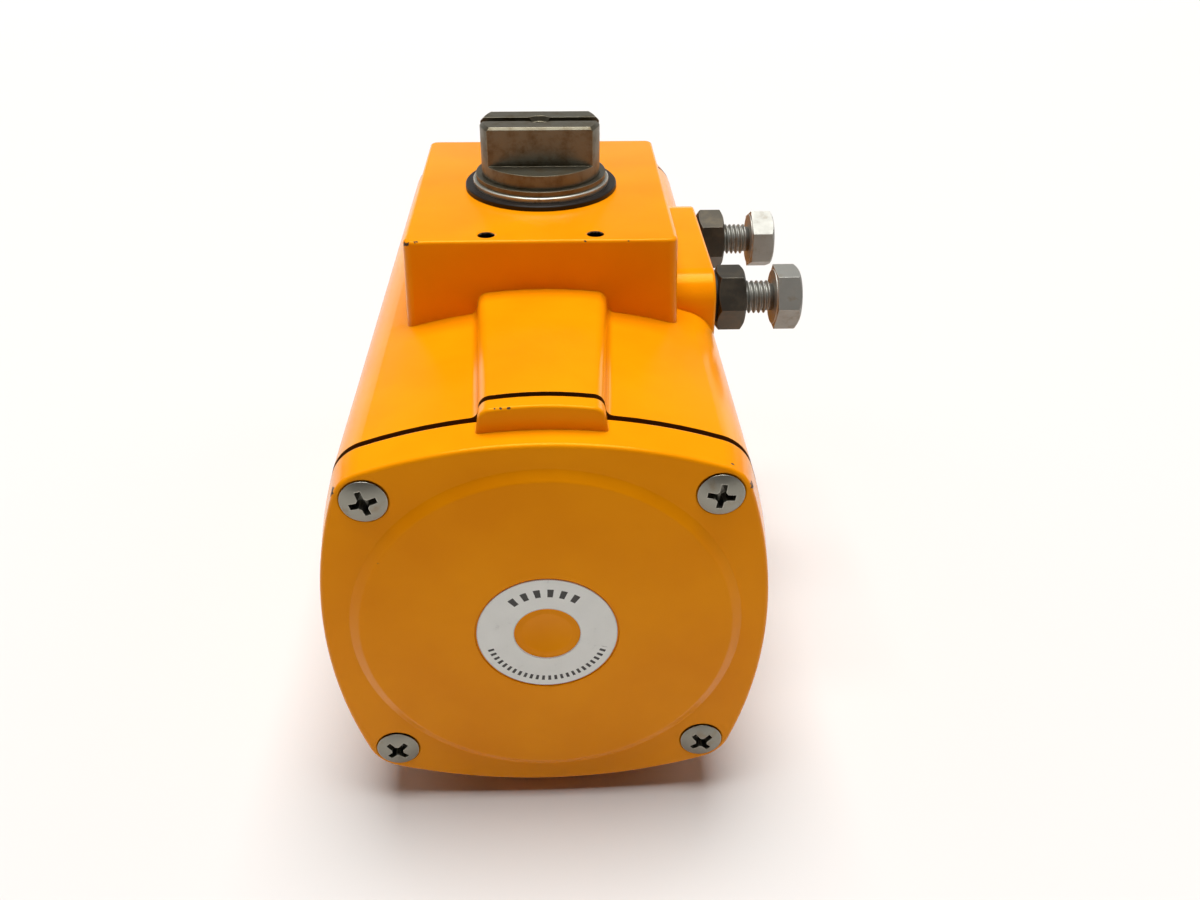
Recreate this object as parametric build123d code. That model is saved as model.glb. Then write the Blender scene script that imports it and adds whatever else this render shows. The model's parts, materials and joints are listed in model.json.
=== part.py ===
from build123d import *
import math
import os

# Double-acting rack-and-pinion pneumatic actuator, quarter turn. Millimetres.
# Origin: centre of the bottom mounting face, on the drive axis.
# +Z up the drive axis, +Y along the cylinder, +X towards the travel-stop bolts.

# Body
CYLINDER_AXIS_Z = 63.0
BORE_RADIUS = 45.0
BODY_HALF_LENGTH = 102.0
BODY_HALF_WIDTH = 58.0
BODY_SIDE_RADIUS = 134.0
BODY_CORNER_RADIUS = 12.0
RIDGE_BASE_HALF = 16.5
RIDGE_DRAFT = 2.0
RIDGE_FLARE = 3.4
RIDGE_HEIGHT = 63.8
LOWER_RIDGE_HEIGHT = 62.5
RIDGE_CROWN = 1.2
RIDGE_FOOT_HEIGHT = 50.0
RIDGE_CORNER = 3.2
RIB_FILLET = 2.2
FLARE_END_Y = 42.0

# Top block and bottom pad
BLOCK_TOP_Z = 141.0
BLOCK_TOP = (75.0, 89.5)
BLOCK_BASE = (77.4, 90.8)
BLOCK_BASE_Z = 106.0
BLOCK_CORNER = 2.5
FOOT = (76.0, 90.0)
FOOT_HEIGHT = 10.0
BOSS_X = 51.0
BOSS_ROOT_X = 30.0
BOSS_HALF_LENGTH = 34.0
BOSS_Z = (104.0, 124.0)
BOSS_END_RADIUS = 9.0
EDGE_ROUND = 1.0

# Mounting interfaces
NAMUR_SPACING = (30.0, 80.0)
M5_MINOR = 2.1
M6_MINOR = 2.5
M8_MINOR = 3.4
G14_MINOR = 5.72
NAMUR_DEPTH = 10.0
LEAD_IN = 0.5
F05_PCD, F05_DEPTH = 50.0, 10.0
F07_PCD, F07_DEPTH = 70.0, 14.0
VALVE_FACE_X = -56.5
VALVE_FACE_HALF = (30.0, 22.0)
PORT_HALF_SPACING = 12.0
PORT_A_END_X = -40.0
PORT_DEPTH_B = 9.0
VALVE_BOLTS = (16.0, 12.0)
VALVE_BOLT_DEPTH = 9.0

# Air duct from port B to the chambers behind the pistons
DUCT_X, DUCT_Z = -48.5, CYLINDER_AXIS_Z + 22.0
DUCT_RADIUS = 2.5
DUCT_SEAL_RADIUS, DUCT_SEAL_SECTION = 3.65, 0.65
DUCT_SEAT_OUTER, DUCT_SEAT_INNER, DUCT_SEAT_DEPTH = 4.45, 2.9, 1.3
FEED_RADIUS = 1.8
FEED_START = (-54.0, PORT_HALF_SPACING - 0.5, CYLINDER_AXIS_Z + 3.0)
CAP_DUCT_RADIUS = 2.0
CAP_DUCT_Y, CAP_DUCT_END_Y = 106.5, 109.2
CAP_DUCT_EXIT_X, CAP_DUCT_EXIT_Z = -30.0, CYLINDER_AXIS_Z + 13.6

# Drive shaft
SHAFT_RADIUS = 17.8
SHAFT_TOP_Z = 161.0
SHAFT_FLAT_HALF = 8.9
SHAFT_FLAT_Z = 149.65
SLOT_WIDTH, SLOT_DEPTH = 4.0, 4.0
SHAFT_BOTTOM_Z = 1.0
JOURNAL_RADIUS = 20.5
JOURNAL_TOP_Z = 24.0
JOURNAL_CLEARANCE = 0.05
WAIST_RADIUS = 17.0
SOCKET_FLATS = 17.0
SOCKET_DEPTH = 19.0
SOCKET_LEAD_RADIUS, SOCKET_LEAD_DEPTH = 12.5, 2.0
MODULE = 2.0
TEETH = 18
DEDENDUM = 1.25 * MODULE
FLANK_POINTS = 6
GEAR_Z = (47.0, 79.0)
PRESSURE_ANGLE = math.radians(20.0)
BACKLASH = 0.16
CAM_Z = (107.0, 119.0)
CAM_SHOULDER_Z = 100.0
CAM_SHOULDER_RADIUS = 19.9
CAM_SEAT_RADIUS, CAM_SEAT_FLAT = 19.0, 17.9
CAM_RADIUS = 32.0
CAM_FACE = 18.95
CAM_CORNER_CUT = 2.0
CHAMBER_RADIUS = 33.0
CHAMBER_TOP_Z = 121.0
BUSH_RADIUS = 20.7

# Pistons
PISTON_RADIUS = 44.6
PISTON_INNER, PISTON_OUTER = 48.0, 66.0
ARM_END = 43.0
ARM_BACK_X, ARM_HALF_HEIGHT = 38.0, 12.0
SHOE_Y = (-4.0, 38.0)
SHOE_HALF_HEIGHT = 6.0
SHOE_SEAT_X = 36.0
SHOE_CLEARANCE = 0.05
RACK_OVERLAP = 0.5

# Stop bolts (M10)
STOP_Y = 23.2
STOP_Z = CYLINDER_AXIS_Z + 50.5
STOP_TIP_X = 19.05
STOP_HEAD_X = (69.55, 77.2)
STOP_SHANK_RADIUS = 4.95
STOP_HOLE_RADIUS = 5.0
STOP_HOLE_X = 15.0
HEX_FLATS = 17.0
HEX_CORNER_CUT = 1.4
STOP_SEAL_X = (51.02, 52.18)
LOCK_NUT_X = (52.2, 60.4)

# End caps
LAND_Y = 104.0
CAP_FACE_Y = 114.0
LAND_HALF, CAP_REAR_HALF, CAP_FRONT_HALF = 55.5, 57.9, 56.6
CAP_FRONT_CORNER = 11.0
TAB_Y = 108.5
DISC_BASE_RADIUS, DISC_TOP_RADIUS = 50.0, 47.4
DISC_Y = 115.4
CAP_SCREW_OFFSET = 42.0
LABEL_RADIUS, LABEL_HOLE_RADIUS = 18.0, 8.5
LABEL_THICKNESS, LABEL_RECESS, LABEL_MARGIN = 0.35, 0.5, 0.5
SPIGOT_Y = 97.0
CAVITY_RADIUS, CAVITY_Y = 39.0, 107.0
TAB_ROUND = 0.8
DISC_ROUND = 1.3
DIMPLE_RADIUS, DIMPLE_DEPTH = 6.5, 0.6
CAP_GROOVE_RADIUS, CAP_GROOVE_Y, CAP_GROOVE_HALF = 43.2, 99.8, 1.3
CAP_RING_SECTION = 0.85

# Cap screws (M6 raised countersunk, cross recess)
CAP_HOLE_RADIUS, SINK_RADIUS, SINK_LIFT = 3.3, 6.6, 0.5
CAP_TAP_RADIUS, CAP_TAP_END_Y = 3.0, 82.0
CAP_SHANK_RADIUS = 2.95
HEAD_RADIUS, HEAD_RISE = 5.7, 1.2
CAP_SCREW_LENGTH = 27.0
SCREW_PROUD = 0.3
RECESS_SPAN, RECESS_WIDTH, RECESS_CORE_RADIUS = 7.0, 1.7, 1.6
RECESS_TOP, RECESS_DEPTH, RECESS_TAPER = 1.5, 3.6, 7.0
SCREW_ANGLES = (17.0, -8.0, 45.0, 40.0)

# Rings on the shaft: (low z, high z, floor radius) of each groove
CLIP_GROOVE_RADIUS = 16.8
SHAFT_GROOVES = (
    (4.0, 11.0, 18.6),
    (14.0, 17.2, 17.7),
    (129.0, 131.6, 15.7),
    (144.03, 145.6, CLIP_GROOVE_RADIUS),
)
THRUST_Z, WASHER_Z, CLIP_Z = (141.0, 142.5), (142.52, 144.0), (144.05, 145.55)
THRUST_RING_RADIUS, WASHER_RADIUS, CLIP_RADIUS, CLIP_GAP = 22.9, 20.5, 19.6, 7.0
THRUST_CHAMFER, WASHER_CHAMFER, TOP_CHAMFER = 0.3, 0.25, 0.7
EYE_CLEARANCE, CLIP_CLEARANCE = 0.15, 0.05
SHAFT_HOLE_DEPTH = 16.0
SHAFT_SINK_Z = SHAFT_TOP_Z - 1.5
SHAFT_SINK_LOW, SHAFT_SINK_HIGH, SHAFT_SINK_HEIGHT = 3.0, 3.8, 1.8

# Piston grooves: (low, high, floor radius), measured along the cylinder from the drive axis
PISTON_GROOVES = ((51.0, 57.0, 43.3), (60.0, 63.4, 41.8))
PISTON_CUP_RADIUS, PISTON_CUP_DEPTH = 34.0, 8.0
RACK_FIRST, RACK_LAST = -2, 6
STOP_SEAL_RADIUS = 7.4
STOP_BOLTS = (("front", -STOP_Y, 30.0, 0.0), ("rear", STOP_Y, 0.0, 15.0))

FIT = 0.04  # radial clearance of running and located fits
BAND_GAP, BAND_PROUD = 0.1, 0.02  # end clearance of a band in its groove, and its height above the journal
OVER = 1.0  # how far a cutting shape reaches past the face it opens
STANDING = (Align.CENTER, Align.CENTER, Align.MIN)


def rod(radius, start, end):
    """Solid cylinder between two points."""
    path = Vector(*end) - Vector(*start)
    return Plane(origin=start, z_dir=path) * extrude(Circle(radius), amount=path.length)


def tube(outer, inner, start, end):
    """Hollow cylinder between two points."""
    return rod(outer, start, end) - rod(inner, start, end)


def block(low, high):
    """Axis-aligned box between two corners."""
    size = [b - a for a, b in zip(low, high)]
    return Pos(*low) * Box(*size, align=(Align.MIN, Align.MIN, Align.MIN))


def o_ring(radius, section, centre, axis):
    """Round-section ring."""
    return Plane(origin=centre, z_dir=axis) * Torus(radius, section)


def on_axis(y):
    """A point of the cylinder axis."""
    return (0, y, CYLINDER_AXIS_Z)


def section_plane(y):
    """Plane across the cylinder; its local axes are X and Z, and it faces -Y."""
    return Plane(origin=on_axis(y), x_dir=(1, 0, 0), z_dir=(0, -1, 0))


def prism(face, y_low, y_high):
    """Extrude a cross-section along the cylinder."""
    return extrude(section_plane(y_high) * face, amount=y_high - y_low)


def bulged_square(half, corner_radius):
    """Square with bowed sides and round corners, tangent all round."""
    reach = BODY_SIDE_RADIUS - corner_radius
    shift = BODY_SIDE_RADIUS - half
    corner = (-shift + math.sqrt(2 * reach**2 - shift**2)) / 2
    scale = BODY_SIDE_RADIUS / reach
    tangent = Vector(-shift + (corner + shift) * scale, corner * scale)
    diagonal = corner + corner_radius / math.sqrt(2)
    edges = []
    for quarter in range(4):
        turn = 90 * quarter
        side = [Vector(tangent.X, -tangent.Y), Vector(half, 0), tangent]
        bend = [tangent, Vector(diagonal, diagonal), Vector(tangent.Y, tangent.X)]
        for points in (side, bend):
            edges.append(ThreePointArc(*[p.rotate(Axis.Z, turn) for p in points]))
    return make_face(edges)


def ridge_profile(flare=0.0, height=RIDGE_HEIGHT):
    """Crowned rib that stands on the top of the barrel section, widened each side by the flare."""
    foot, shoulder = RIDGE_FOOT_HEIGHT, height - RIDGE_CROWN
    base_half = RIDGE_BASE_HALF + flare
    top_half = base_half - RIDGE_DRAFT
    outline = [
        Line((-base_half, foot), (base_half, foot)),
        Line((base_half, foot), (top_half, shoulder)),
        ThreePointArc((top_half, shoulder), (0, height), (-top_half, shoulder)),
        Line((-top_half, shoulder), (-base_half, foot)),
    ]
    face = make_face(outline)
    corners = face.vertices().sort_by(Axis.Y)[-2:]
    return fillet(corners, RIDGE_CORNER)


def barrel_profile(flare=0.0):
    """Body section: bowed square with a rib above and below, blended at the roots."""
    ribs = ridge_profile(flare) + mirror(ridge_profile(height=LOWER_RIDGE_HEIGHT), about=Plane.XZ)
    face = bulged_square(BODY_HALF_WIDTH, BODY_CORNER_RADIUS) + ribs
    reach = RIDGE_BASE_HALF + flare
    roots = [v for v in face.vertices() if abs(v.X) < reach and abs(v.Y) < BODY_HALF_WIDTH]
    return fillet(roots, RIB_FILLET)


def barrel():
    """Body whose top rib flares from each end towards the mounting block."""
    wide = barrel_profile(RIDGE_FLARE)
    narrow = barrel_profile()
    front = loft([section_plane(-BODY_HALF_LENGTH) * narrow, section_plane(-FLARE_END_Y) * wide], ruled=True)
    return prism(wide, -FLARE_END_Y, FLARE_END_Y) + front + mirror(front, about=Plane.XZ)


def mounting_block():
    """Drafted block on top of the barrel that carries the accessory face."""
    base = Pos(0, 0, BLOCK_BASE_Z) * RectangleRounded(*BLOCK_BASE, BLOCK_CORNER)
    top = Pos(0, 0, BLOCK_TOP_Z) * RectangleRounded(*BLOCK_TOP, BLOCK_CORNER)
    solid = loft([base, top], ruled=True)
    return fillet(solid.faces().sort_by(Axis.Z)[-1].edges(), EDGE_ROUND)


def stop_boss():
    """Boss along the right-hand side of the block, threaded for the stop bolts."""
    low = (BOSS_ROOT_X, -BOSS_HALF_LENGTH, BOSS_Z[0])
    solid = block(low, (BOSS_X, BOSS_HALF_LENGTH, BOSS_Z[1]))
    top_ends = solid.edges().filter_by(Axis.X).sort_by(Axis.Z)[-2:]
    solid = fillet(top_ends, BOSS_END_RADIUS)
    return fillet(solid.faces().sort_by(Axis.X)[-1].edges().sort_by(Axis.Z)[1:], EDGE_ROUND)


def housing_outside():
    foot = extrude(RectangleRounded(*FOOT, BLOCK_CORNER), amount=FOOT_HEIGHT)
    foot = chamfer(foot.faces().sort_by(Axis.Z)[0].edges(), EDGE_ROUND / 2)
    body = barrel() + foot
    return body + mounting_block() + stop_boss()


def circle_of_holes(pcd, radius, depth):
    """Blind holes from the bottom face, on the diagonals."""
    offset = pcd / 2 / math.sqrt(2)
    return [
        rod(radius, (x, y, -OVER), (x, y, depth))
        for x in (-offset, offset)
        for y in (-offset, offset)
    ]


def accessory_holes():
    """Threaded holes of the top face, each with a small lead-in chamfer."""
    holes = []
    for x in (-NAMUR_SPACING[0] / 2, NAMUR_SPACING[0] / 2):
        for y in (-NAMUR_SPACING[1] / 2, NAMUR_SPACING[1] / 2):
            holes.append(rod(M5_MINOR, (x, y, BLOCK_TOP_Z - NAMUR_DEPTH), (x, y, BLOCK_TOP_Z + OVER)))
            holes.append(Pos(x, y, BLOCK_TOP_Z - LEAD_IN / 2) * Cone(M5_MINOR, M5_MINOR + LEAD_IN, LEAD_IN))
    return holes


def control_valve_cuts():
    """Flat on the left side with two air ports and four bolt holes."""
    half_y, half_z = VALVE_FACE_HALF
    middle = CYLINDER_AXIS_Z
    outer, inner = -BODY_HALF_WIDTH - OVER, VALVE_FACE_X
    ports = ((-PORT_HALF_SPACING, PORT_A_END_X), (PORT_HALF_SPACING, inner + PORT_DEPTH_B))
    cuts = [block((outer, -half_y, middle - half_z), (inner, half_y, middle + half_z))]
    for y, end_x in ports:
        cuts.append(rod(G14_MINOR, (outer, y, middle), (end_x, y, middle)))
    cuts.append(rod(FEED_RADIUS, FEED_START, (DUCT_X, FEED_START[1], DUCT_Z)))
    for y in (-VALVE_BOLTS[0], VALVE_BOLTS[0]):
        for z in (-VALVE_BOLTS[1], VALVE_BOLTS[1]):
            cuts.append(rod(M5_MINOR, (outer, y, middle + z), (inner + VALVE_BOLT_DEPTH, y, middle + z)))
    return cuts


def housing():
    end = BODY_HALF_LENGTH + OVER
    above = BLOCK_TOP_Z + OVER
    body = housing_outside()
    cuts = [
        rod(BORE_RADIUS, on_axis(-end), on_axis(end)),
        rod(CHAMBER_RADIUS, (0, 0, CYLINDER_AXIS_Z), (0, 0, CHAMBER_TOP_Z)),
        rod(BUSH_RADIUS, (0, 0, CHAMBER_TOP_Z - OVER), (0, 0, above)),
        rod(JOURNAL_RADIUS + JOURNAL_CLEARANCE, (0, 0, -OVER), (0, 0, CYLINDER_AXIS_Z)),
        rod(DUCT_RADIUS, (DUCT_X, -end, DUCT_Z), (DUCT_X, end, DUCT_Z)),
    ]
    for y in (-STOP_Y, STOP_Y):
        cuts.append(rod(STOP_HOLE_RADIUS, (STOP_HOLE_X, y, STOP_Z), (BOSS_X + OVER, y, STOP_Z)))
    for x in (-CAP_SCREW_OFFSET, CAP_SCREW_OFFSET):
        for z in (CYLINDER_AXIS_Z - CAP_SCREW_OFFSET, CYLINDER_AXIS_Z + CAP_SCREW_OFFSET):
            for side in (-1, 1):
                cuts.append(rod(CAP_TAP_RADIUS, (x, side * end, z), (x, side * CAP_TAP_END_Y, z)))
    cuts += circle_of_holes(F05_PCD, M6_MINOR, F05_DEPTH)
    cuts += circle_of_holes(F07_PCD, M8_MINOR, F07_DEPTH)
    cuts += accessory_holes()
    cuts += control_valve_cuts()
    return body - cuts


def cap_tab(height):
    """Tab that carries the rib's section across the flange."""
    tab = prism(ridge_profile(height=height), -TAB_Y, -LAND_Y)
    return fillet(tab.faces().sort_by(Axis.Y)[0].edges().sort_by(Axis.Z)[1:], TAB_ROUND)


def cap_shell():
    """Land, tapered flange with a tab above and below, and the raised disc."""
    land = prism(bulged_square(LAND_HALF, BODY_CORNER_RADIUS), -LAND_Y, -BODY_HALF_LENGTH)
    rear = section_plane(-LAND_Y) * bulged_square(CAP_REAR_HALF, BODY_CORNER_RADIUS)
    front = section_plane(-CAP_FACE_Y) * bulged_square(CAP_FRONT_HALF, CAP_FRONT_CORNER)
    flange = loft([rear, front], ruled=True)
    flange = fillet(flange.faces().sort_by(Axis.Y)[0].edges(), EDGE_ROUND)
    upper_tab = cap_tab(RIDGE_HEIGHT)
    lower_tab = mirror(cap_tab(LOWER_RIDGE_HEIGHT), about=Plane.XY.offset(CYLINDER_AXIS_Z))
    disc = section_plane(-CAP_FACE_Y) * Cone(
        DISC_BASE_RADIUS, DISC_TOP_RADIUS, DISC_Y - CAP_FACE_Y, align=STANDING
    )
    disc = fillet(disc.faces().sort_by(Axis.Y)[0].edges(), DISC_ROUND)
    return land + flange + upper_tab + lower_tab + disc


def label_seat():
    """Round recess for the label with a soft dimple in the middle."""
    floor_y = -DISC_Y + LABEL_RECESS
    recess = rod(LABEL_RADIUS + LABEL_MARGIN, on_axis(-DISC_Y - OVER), on_axis(floor_y))
    ball_radius = (DIMPLE_RADIUS**2 + DIMPLE_DEPTH**2) / (2 * DIMPLE_DEPTH)
    dimple = Pos(*on_axis(floor_y + DIMPLE_DEPTH - ball_radius)) * Sphere(ball_radius)
    return [recess, dimple]


def cap_screw_cuts():
    """Four countersunk clearance holes."""
    lifted = -CAP_FACE_Y - SINK_LIFT
    sink = Cone(SINK_RADIUS, CAP_HOLE_RADIUS, SINK_RADIUS - CAP_HOLE_RADIUS, align=STANDING)
    cuts = []
    for x in (-CAP_SCREW_OFFSET, CAP_SCREW_OFFSET):
        for z in (CYLINDER_AXIS_Z - CAP_SCREW_OFFSET, CYLINDER_AXIS_Z + CAP_SCREW_OFFSET):
            cuts.append(rod(CAP_HOLE_RADIUS, (x, -CAP_FACE_Y - OVER, z), (x, -BODY_HALF_LENGTH + OVER, z)))
            cuts.append(Plane(origin=(x, lifted, z), z_dir=(0, 1, 0)) * sink)
    return cuts


def end_cap():
    """Front end cap; the rear one is its mirror image."""
    land_face = -BODY_HALF_LENGTH
    above_land = (DUCT_X, land_face + OVER, DUCT_Z)
    spigot = rod(BORE_RADIUS - FIT, on_axis(land_face - OVER), on_axis(-SPIGOT_Y))
    cross_start = (DUCT_X, -CAP_DUCT_Y, DUCT_Z)
    cross_end = (CAP_DUCT_EXIT_X, -CAP_DUCT_Y, CAP_DUCT_EXIT_Z)
    groove_ends = on_axis(-CAP_GROOVE_Y - CAP_GROOVE_HALF), on_axis(-CAP_GROOVE_Y + CAP_GROOVE_HALF)
    cuts = [
        rod(CAVITY_RADIUS, on_axis(-CAVITY_Y), on_axis(-SPIGOT_Y + OVER)),
        rod(DUCT_RADIUS, (DUCT_X, -CAP_DUCT_END_Y, DUCT_Z), above_land),
        rod(CAP_DUCT_RADIUS, cross_start, cross_end),
        tube(DUCT_SEAT_OUTER, DUCT_SEAT_INNER, (DUCT_X, land_face - DUCT_SEAT_DEPTH, DUCT_Z), above_land),
        tube(BORE_RADIUS + OVER, CAP_GROOVE_RADIUS, *groove_ends),
    ]
    cap = cap_shell() + spigot
    for cut in cuts + label_seat() + cap_screw_cuts():
        cap -= cut
    return cap


def cap_o_ring():
    return o_ring(BORE_RADIUS - FIT - CAP_RING_SECTION, CAP_RING_SECTION, on_axis(-CAP_GROOVE_Y), (0, 1, 0))


def duct_seal():
    y = -BODY_HALF_LENGTH - DUCT_SEAL_SECTION
    return o_ring(DUCT_SEAL_RADIUS, DUCT_SEAL_SECTION, (DUCT_X, y, DUCT_Z), (0, 1, 0))


def cap_label():
    return tube(
        LABEL_RADIUS,
        LABEL_HOLE_RADIUS,
        on_axis(-DISC_Y + LABEL_RECESS),
        on_axis(-DISC_Y + LABEL_RECESS - LABEL_THICKNESS),
    )


def cross_recess():
    """Tapered cross that narrows towards its floor."""
    cross = Rectangle(RECESS_SPAN, RECESS_WIDTH) + Rectangle(RECESS_WIDTH, RECESS_SPAN)
    core = Circle(RECESS_CORE_RADIUS)
    return extrude(Pos(0, 0, RECESS_TOP) * (cross + core), amount=-RECESS_DEPTH, taper=RECESS_TAPER)


def cap_screw():
    """Raised countersunk screw; local z = 0 is the cap face, +z outwards."""
    half = HEAD_RADIUS
    dome_radius = (half**2 + HEAD_RISE**2) / (2 * HEAD_RISE)
    cone_depth = half - CAP_SHANK_RADIUS
    cone = Pos(0, 0, -cone_depth) * Cone(CAP_SHANK_RADIUS, half, cone_depth, align=STANDING)
    ball = Pos(0, 0, HEAD_RISE - dome_radius) * Sphere(dome_radius)
    dome = ball & rod(half, (0, 0, 0), (0, 0, HEAD_RISE + OVER))
    shank = rod(CAP_SHANK_RADIUS, (0, 0, -CAP_SCREW_LENGTH), (0, 0, -cone_depth))
    return cone + dome + shank - cross_recess()


def cap_screws():
    """Four screws of the front cap, each stopped at its own angle."""
    places = [(-1, 1), (1, 1), (-1, -1), (1, -1)]
    solids = []
    for (side, level), angle in zip(places, SCREW_ANGLES):
        x, z = side * CAP_SCREW_OFFSET, CYLINDER_AXIS_Z + level * CAP_SCREW_OFFSET
        seat = Plane(origin=(x, -CAP_FACE_Y - SCREW_PROUD, z), x_dir=(1, 0, 0), z_dir=(0, -1, 0))
        solids.append(seat * Rot(0, 0, angle) * cap_screw())
    return Compound(children=solids)


def involute(angle):
    return math.tan(angle) - angle


def gear_face():
    """Spur gear section with a tooth gap facing +X."""
    pitch = MODULE * TEETH / 2
    base = pitch * math.cos(PRESSURE_ANGLE)
    tip = pitch + MODULE
    root = pitch - DEDENDUM
    half_tooth = (math.pi * MODULE / 2 - BACKLASH) / 2 / pitch

    def flank_angle(radius):
        return half_tooth + involute(PRESSURE_ANGLE) - involute(math.acos(base / radius))

    radii = [base + (tip - base) * k / (FLANK_POINTS - 1) for k in range(FLANK_POINTS)]
    edges = []
    for tooth in range(TEETH):
        middle = 2 * math.pi * (tooth + 0.5) / TEETH

        def at(radius, angle):
            return (radius * math.cos(middle + angle), radius * math.sin(middle + angle))

        leading = [at(r, -flank_angle(max(r, base))) for r in radii]
        trailing = [at(r, flank_angle(max(r, base))) for r in reversed(radii)]
        foot = flank_angle(base)
        next_foot = 2 * math.pi / TEETH - foot
        edges.append(Line(at(root, -foot), leading[0]))
        edges.append(Spline(*leading))
        edges.append(ThreePointArc(leading[-1], at(tip, 0), trailing[0]))
        edges.append(Spline(*trailing))
        edges.append(Line(trailing[-1], at(root, foot)))
        edges.append(ThreePointArc(at(root, foot), at(root, math.pi / TEETH), at(root, next_foot)))
    return make_face(edges)


def shaft_head():
    """Shaft top with two flats, a slot and a centre hole for an accessory."""
    reach, above = SHAFT_RADIUS + OVER, SHAFT_TOP_Z + OVER
    head = rod(SHAFT_RADIUS, (0, 0, GEAR_Z[1]), (0, 0, SHAFT_TOP_Z))
    head = chamfer(head.faces().sort_by(Axis.Z)[-1].edges(), EDGE_ROUND)
    for side in (-1, 1):
        low_y, high_y = sorted((side * SHAFT_FLAT_HALF, side * reach))
        head -= block((-reach, low_y, SHAFT_FLAT_Z), (reach, high_y, above))
    rims = head.faces().sort_by(Axis.Z)[-1].edges().filter_by(Axis.X)
    head = chamfer(rims, TOP_CHAMFER)
    slot_floor = SHAFT_TOP_Z - SLOT_DEPTH
    head -= block((-reach, -SLOT_WIDTH / 2, slot_floor), (reach, SLOT_WIDTH / 2, above))
    head -= rod(M6_MINOR, (0, 0, SHAFT_TOP_Z - SHAFT_HOLE_DEPTH), (0, 0, above))
    sink = Cone(SHAFT_SINK_LOW, SHAFT_SINK_HIGH, SHAFT_SINK_HEIGHT, align=STANDING)
    return head - Pos(0, 0, SHAFT_SINK_Z) * sink


def drive_socket():
    """Double square that takes the valve stem either way round, with a round lead-in."""
    square = Rectangle(SOCKET_FLATS, SOCKET_FLATS)
    start = SHAFT_BOTTOM_Z - OVER
    star = extrude(Pos(0, 0, start) * (square + Rot(0, 0, 45) * square), amount=SOCKET_DEPTH + OVER)
    return star + rod(SOCKET_LEAD_RADIUS, (0, 0, start), (0, 0, SHAFT_BOTTOM_Z + SOCKET_LEAD_DEPTH))


def cam_seat():
    seat = Circle(CAM_SEAT_RADIUS) & Rectangle(2 * CAM_SEAT_RADIUS, 2 * CAM_SEAT_FLAT)
    return extrude(Pos(0, 0, CAM_Z[0]) * seat, amount=CAM_Z[1] - CAM_Z[0])


def pinion_shaft():
    body = shaft_head()
    body += rod(JOURNAL_RADIUS, (0, 0, SHAFT_BOTTOM_Z), (0, 0, JOURNAL_TOP_Z))
    body += rod(WAIST_RADIUS, (0, 0, JOURNAL_TOP_Z), (0, 0, GEAR_Z[0]))
    body += extrude(Pos(0, 0, GEAR_Z[0]) * gear_face(), amount=GEAR_Z[1] - GEAR_Z[0])
    body += rod(CAM_SHOULDER_RADIUS, (0, 0, CAM_SHOULDER_Z), (0, 0, CAM_Z[0]))
    body += cam_seat()
    body -= drive_socket()
    for low, high, floor in SHAFT_GROOVES:
        body -= tube(JOURNAL_RADIUS + OVER, floor, (0, 0, low), (0, 0, high))
    return body


def stop_cam():
    """Disc with two flats that meet the stop bolts a quarter turn apart."""
    low, high = CAM_Z
    under, above, reach = low - OVER, high + OVER, CAM_RADIUS + OVER
    disc = rod(CAM_RADIUS, (0, 0, low), (0, 0, high))
    disc -= block((CAM_FACE, -reach, under), (reach, reach, above))
    disc -= block((-reach, -reach, under), (reach, -CAM_FACE, above))
    corner = disc.edges().filter_by(Axis.Z).sort_by_distance((CAM_FACE, -CAM_FACE, low))[0]
    disc = chamfer(corner, CAM_CORNER_CUT)
    hole = Circle(CAM_SEAT_RADIUS + FIT) & Rectangle(2 * CAM_RADIUS, 2 * (CAM_SEAT_FLAT + FIT))
    return disc - extrude(Pos(0, 0, under) * hole, amount=above - under)


def shaft_stack():
    """Rings round the shaft on top of the block, and those in the shaft's grooves."""
    eye = SHAFT_RADIUS + EYE_CLEARANCE
    bush = tube(BUSH_RADIUS - FIT, SHAFT_RADIUS + FIT, (0, 0, CHAMBER_TOP_Z), (0, 0, BLOCK_TOP_Z))
    thrust = tube(THRUST_RING_RADIUS, eye, (0, 0, THRUST_Z[0]), (0, 0, THRUST_Z[1]))
    washer = tube(WASHER_RADIUS, eye, (0, 0, WASHER_Z[0]), (0, 0, WASHER_Z[1]))
    ring = tube(CLIP_RADIUS, CLIP_GROOVE_RADIUS + CLIP_CLEARANCE, (0, 0, CLIP_Z[0]), (0, 0, CLIP_Z[1]))
    gap = block((-CLIP_GAP / 2, 0, CLIP_Z[0] - OVER), (CLIP_GAP / 2, CLIP_RADIUS + OVER, CLIP_Z[1] + OVER))
    low, high, floor = SHAFT_GROOVES[0]
    lower = tube(JOURNAL_RADIUS + BAND_PROUD, floor + FIT, (0, 0, low + BAND_GAP), (0, 0, high - BAND_GAP))
    return {
        "upper_bearing": bush,
        "thrust_ring": chamfer(thrust.faces().sort_by(Axis.Z)[-1].outer_wire().edges(), THRUST_CHAMFER),
        "thrust_washer": chamfer(washer.faces().sort_by(Axis.Z)[-1].outer_wire().edges(), WASHER_CHAMFER),
        "retaining_ring": ring - gap,
        "lower_bearing": lower,
        "shaft_o_ring_lower": groove_ring(SHAFT_GROOVES[1], JOURNAL_RADIUS),
        "shaft_o_ring_upper": groove_ring(SHAFT_GROOVES[2], SHAFT_RADIUS),
    }


def groove_ring(groove, outer):
    """O-ring that fills a shaft groove up to the outer radius."""
    low, high, floor = groove
    section = (outer - floor - FIT) / 2
    return o_ring(floor + FIT + section, section, (0, 0, (low + high) / 2), (0, 0, 1))


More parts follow.
